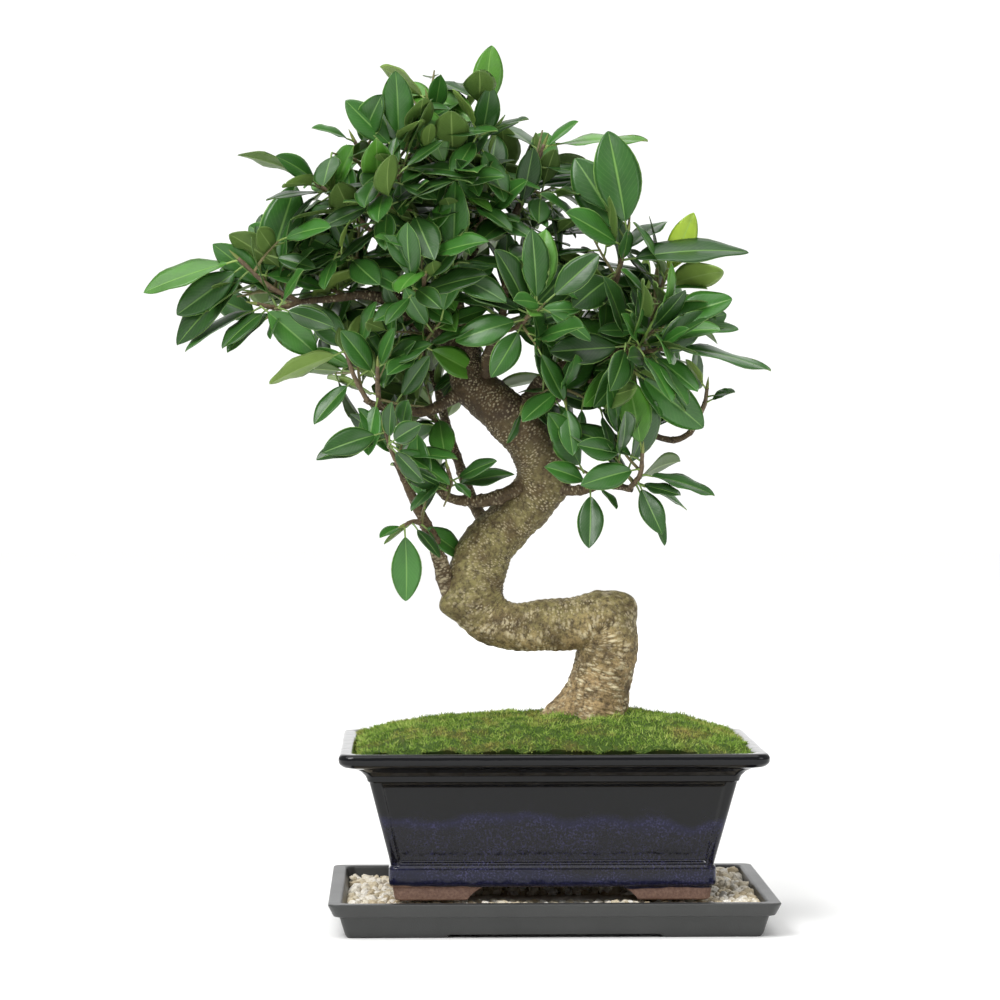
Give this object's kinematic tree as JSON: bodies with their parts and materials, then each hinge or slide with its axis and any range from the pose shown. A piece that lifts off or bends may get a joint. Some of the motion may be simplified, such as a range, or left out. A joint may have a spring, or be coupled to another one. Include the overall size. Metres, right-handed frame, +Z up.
{
  "type": "bonsai tree in a pot",
  "caption": "Small ficus bonsai with an S-curved trunk in a rectangular glazed pot with moss, standing on a plastic humidity tray of pebbles.",
  "frame": {"origin": "middle of the humidity tray's flat underside", "axes": "+Z up, -Y towards the front of the tree, +X to its right"},
  "size_m": [0.3691, 0.1997, 0.5201],
  "materials": {
    "tray_plastic": "satin",
    "pebbles": "matte",
    "pot_glaze": "gloss",
    "drain_plastic": "matte",
    "clip_wire": "satin",
    "soil": "matte",
    "moss": "matte",
    "bark": "matte",
    "leaf": "satin"
  },
  "bodies": {
    "root": {"humidity_tray": "tray_plastic", "pebble_bed": "pebbles", "pot": "pot_glaze", "drain_mesh_left": "drain_plastic", "mesh_clip_left": "clip_wire", "drain_mesh_right": "drain_plastic", "mesh_clip_right": "clip_wire", "trunk": "bark", "soil": "soil", "moss": "moss", "branch_low_left": "bark", "branch_stub": "bark", "branch_back_left": "bark", "branch_low_right": "bark", "branch_left_thin": "bark", "branch_left": "bark", "leader": "bark", "branch_front": "bark", "branch_right": "bark", "branch_back_right": "bark", "branch_back_high": "bark", "shoot_left_tip_high": "leaf", "shoot_left_tip": "leaf", "shoot_left_tip_low": "leaf", "shoot_left_high": "leaf", "shoot_left_peak": "leaf", "shoot_peak_left": "leaf", "shoot_peak_left_front": "leaf", "shoot_leader_front": "leaf", "shoot_crown_mid": "leaf", "shoot_crown_top_back": "leaf", "shoot_crown_top": "leaf", "shoot_crown_right": "leaf", "shoot_right_top": "leaf", "shoot_right_young": "leaf", "shoot_right_upper": "leaf", "shoot_right_long": "leaf", "shoot_centre_front": "leaf", "shoot_right_mid": "leaf", "shoot_right_low": "leaf", "shoot_right_low_inner": "leaf", "shoot_centre_right": "leaf", "shoot_trunk_sprig": "leaf", "shoot_left_inner": "leaf", "shoot_left_inner_low": "leaf", "shoot_left_mid_far": "leaf", "shoot_left_mid": "leaf", "shoot_left_low_end": "leaf", "shoot_stub_shoot": "leaf", "shoot_left_hanging": "leaf", "shoot_left_inner_far": "leaf", "shoot_leader_side": "leaf", "shoot_crown_back_right": "leaf", "shoot_centre_back": "leaf", "shoot_right_low_far": "leaf", "shoot_back_left_low": "leaf", "shoot_back_left_mid": "leaf", "shoot_back_left_tip": "leaf", "shoot_back_right_end": "leaf", "shoot_back_top": "leaf"}
  },
  "joints": []
}
